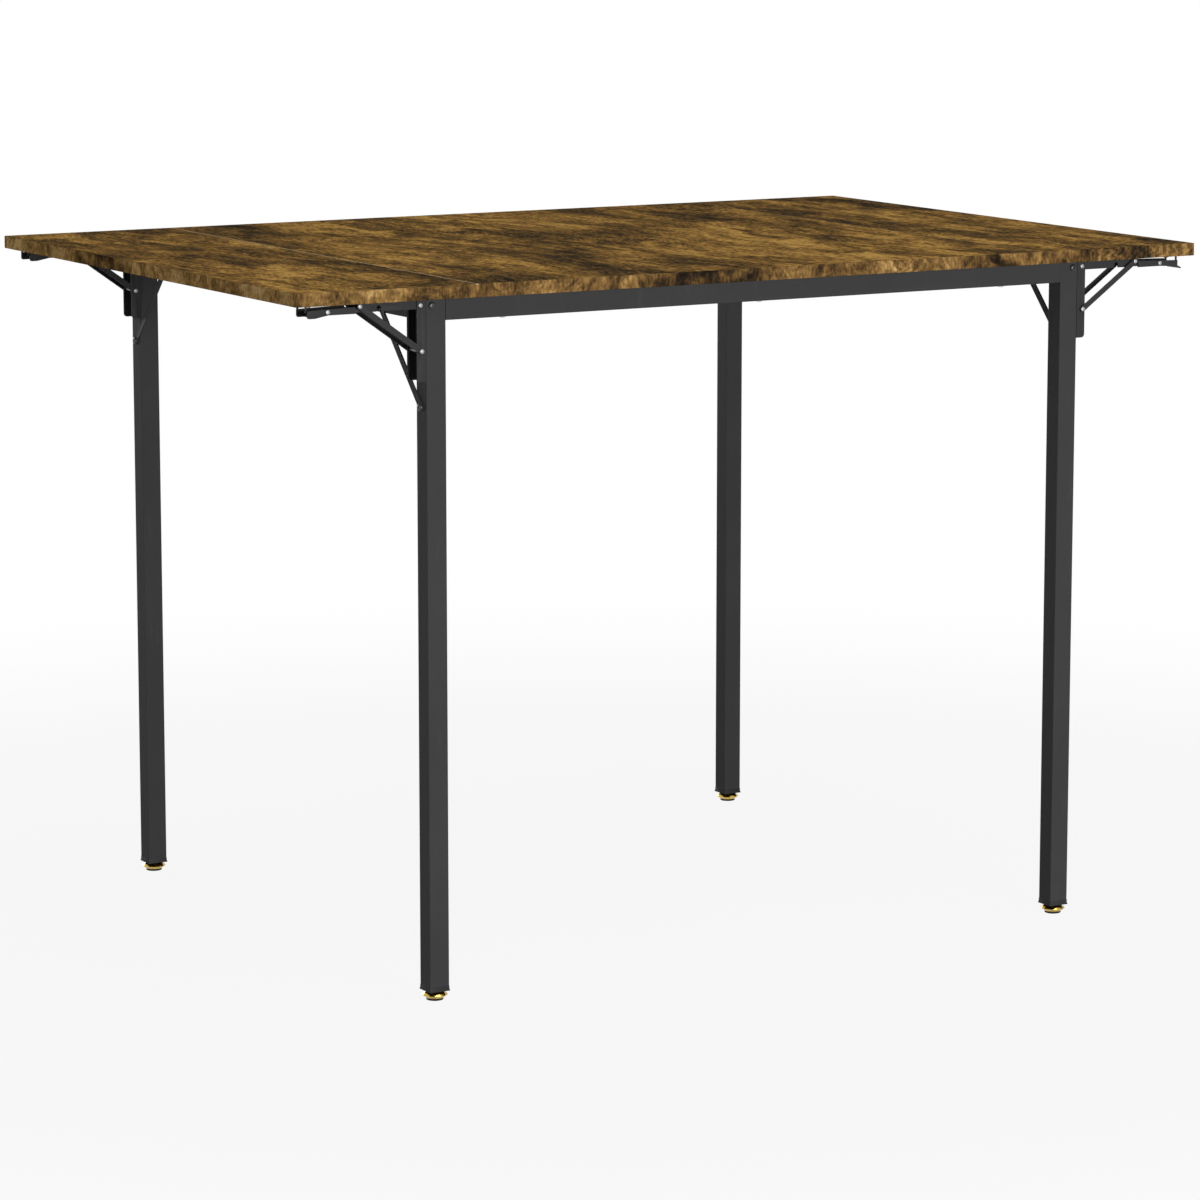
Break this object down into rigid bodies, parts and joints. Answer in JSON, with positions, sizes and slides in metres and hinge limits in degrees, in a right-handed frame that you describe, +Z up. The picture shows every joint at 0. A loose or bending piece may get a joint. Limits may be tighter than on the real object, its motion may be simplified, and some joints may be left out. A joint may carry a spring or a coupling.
{
  "type": "drop leaf dining table",
  "caption": "Rectangular dining table on a square tube frame with a narrow drop leaf at each end, carried by locking folding brackets, and screw levelling feet.",
  "frame": {"origin": "on the floor, under the middle of the table top", "axes": "+X along the table's long side towards the right leaf, +Y towards the back, +Z up"},
  "size_m": [1.13, 0.755, 0.76],
  "materials": {
    "board": "rustic printed board, satin",
    "frame": "fine powder coat, charcoal",
    "bracket": "powder coat, charcoal",
    "cap": "moulded black plastic",
    "foot": "turned brass, satin",
    "rubber": "matt rubber",
    "black_bolt": "black oxide",
    "rivet": "bright steel",
    "zinc": "zinc plated"
  },
  "bodies": {
    "frame": {"arm_pins": "rivet", "back_rail": "frame", "brace_back_left": "frame", "brace_back_right": "frame", "brace_bolts": "black_bolt", "brace_front_left": "frame", "brace_front_right": "frame", "bracket_channel_back_left": "bracket", "bracket_channel_back_right": "bracket", "bracket_channel_front_left": "bracket", "bracket_channel_front_right": "bracket", "bracket_screws": "zinc", "centre_board": "board", "corner_bolts": "black_bolt", "foot_nuts": "zinc", "front_rail": "frame", "left_end_rail": "frame", "leg_back_left": "frame", "leg_back_right": "frame", "leg_cap_back_left": "cap", "leg_cap_back_right": "cap", "leg_cap_front_left": "cap", "leg_cap_front_right": "cap", "leg_front_left": "frame", "leg_front_right": "frame", "rail_end_plugs": "zinc", "rail_screws": "zinc", "right_end_rail": "frame"},
    "left_leaf": {"left_leaf_board": "board", "left_leaf_screws": "zinc", "left_lever_pins": "rivet", "left_lever_springs": "zinc", "bracket_arm_front_left": "bracket", "bracket_arm_back_left": "bracket"},
    "right_leaf": {"right_leaf_board": "board", "right_leaf_screws": "zinc", "right_lever_pins": "rivet", "right_lever_springs": "zinc", "bracket_arm_front_right": "bracket", "bracket_arm_back_right": "bracket"},
    "strut_front_left": {"bracket_strut_front_left": "bracket", "strut_pins_front_left": "rivet"},
    "lever_front_left": {"release_lever_front_left": "bracket"},
    "foot_front_left": {"levelling_foot_front_left": "foot", "foot_pad_front_left": "rubber"},
    "strut_front_right": {"bracket_strut_front_right": "bracket", "strut_pins_front_right": "rivet"},
    "lever_front_right": {"release_lever_front_right": "bracket"},
    "foot_front_right": {"levelling_foot_front_right": "foot", "foot_pad_front_right": "rubber"},
    "strut_back_left": {"bracket_strut_back_left": "bracket", "strut_pins_back_left": "rivet"},
    "lever_back_left": {"release_lever_back_left": "bracket"},
    "foot_back_left": {"levelling_foot_back_left": "foot", "foot_pad_back_left": "rubber"},
    "strut_back_right": {"bracket_strut_back_right": "bracket", "strut_pins_back_right": "rivet"},
    "lever_back_right": {"release_lever_back_right": "bracket"},
    "foot_back_right": {"levelling_foot_back_right": "foot", "foot_pad_back_right": "rubber"}
  },
  "joints": [
    {"name": "left_leaf_fold", "type": "hinge", "parent": "frame", "child": "left_leaf", "pos_m": [-0.4174, 0, 0.74], "axis": [0, -1, 0], "range_deg": [0, 88]},
    {"name": "right_leaf_fold", "type": "hinge", "parent": "frame", "child": "right_leaf", "pos_m": [0.4174, 0, 0.74], "axis": [0, 1, 0], "range_deg": [0, 88]},
    {"name": "strut_swing_front_left", "type": "hinge", "parent": "frame", "child": "strut_front_left", "pos_m": [-0.4174, -0.356, 0.6923], "axis": [0, -1, 0], "range_deg": [0, 121]},
    {"name": "lever_press_front_left", "type": "hinge", "parent": "left_leaf", "child": "lever_front_left", "pos_m": [-0.5244, -0.356, 0.7385], "axis": [0, 1, 0], "range_deg": [0, 8], "stiffness_Nm_per_rad": 0.12, "springref_deg": -14.32},
    {"name": "foot_screw_front_left", "type": "slide", "parent": "frame", "child": "foot_front_left", "axis": [0, 0, -1], "range_m": [0, 0.008]},
    {"name": "strut_swing_front_right", "type": "hinge", "parent": "frame", "child": "strut_front_right", "pos_m": [0.4174, -0.356, 0.6923], "axis": [0, 1, 0], "range_deg": [0, 121]},
    {"name": "lever_press_front_right", "type": "hinge", "parent": "right_leaf", "child": "lever_front_right", "pos_m": [0.5244, -0.356, 0.7385], "axis": [0, -1, 0], "range_deg": [0, 8], "stiffness_Nm_per_rad": 0.12, "springref_deg": -14.32},
    {"name": "foot_screw_front_right", "type": "slide", "parent": "frame", "child": "foot_front_right", "axis": [0, 0, -1], "range_m": [0, 0.008]},
    {"name": "strut_swing_back_left", "type": "hinge", "parent": "frame", "child": "strut_back_left", "pos_m": [-0.4174, 0.356, 0.6923], "axis": [0, -1, 0], "range_deg": [0, 121]},
    {"name": "lever_press_back_left", "type": "hinge", "parent": "left_leaf", "child": "lever_back_left", "pos_m": [-0.5244, 0.356, 0.7385], "axis": [0, 1, 0], "range_deg": [0, 8], "stiffness_Nm_per_rad": 0.12, "springref_deg": -14.32},
    {"name": "foot_screw_back_left", "type": "slide", "parent": "frame", "child": "foot_back_left", "axis": [0, 0, -1], "range_m": [0, 0.008]},
    {"name": "strut_swing_back_right", "type": "hinge", "parent": "frame", "child": "strut_back_right", "pos_m": [0.4174, 0.356, 0.6923], "axis": [0, 1, 0], "range_deg": [0, 121]},
    {"name": "lever_press_back_right", "type": "hinge", "parent": "right_leaf", "child": "lever_back_right", "pos_m": [0.5244, 0.356, 0.7385], "axis": [0, -1, 0], "range_deg": [0, 8], "stiffness_Nm_per_rad": 0.12, "springref_deg": -14.32},
    {"name": "foot_screw_back_right", "type": "slide", "parent": "frame", "child": "foot_back_right", "axis": [0, 0, -1], "range_m": [0, 0.008]}
  ],
  "couplings": [
    {"joint": "strut_swing_front_left", "follows": "left_leaf_fold", "ratio": 1.3682},
    {"joint": "strut_swing_front_right", "follows": "right_leaf_fold", "ratio": 1.3682},
    {"joint": "strut_swing_back_left", "follows": "left_leaf_fold", "ratio": 1.3682},
    {"joint": "strut_swing_back_right", "follows": "right_leaf_fold", "ratio": 1.3682}
  ]
}
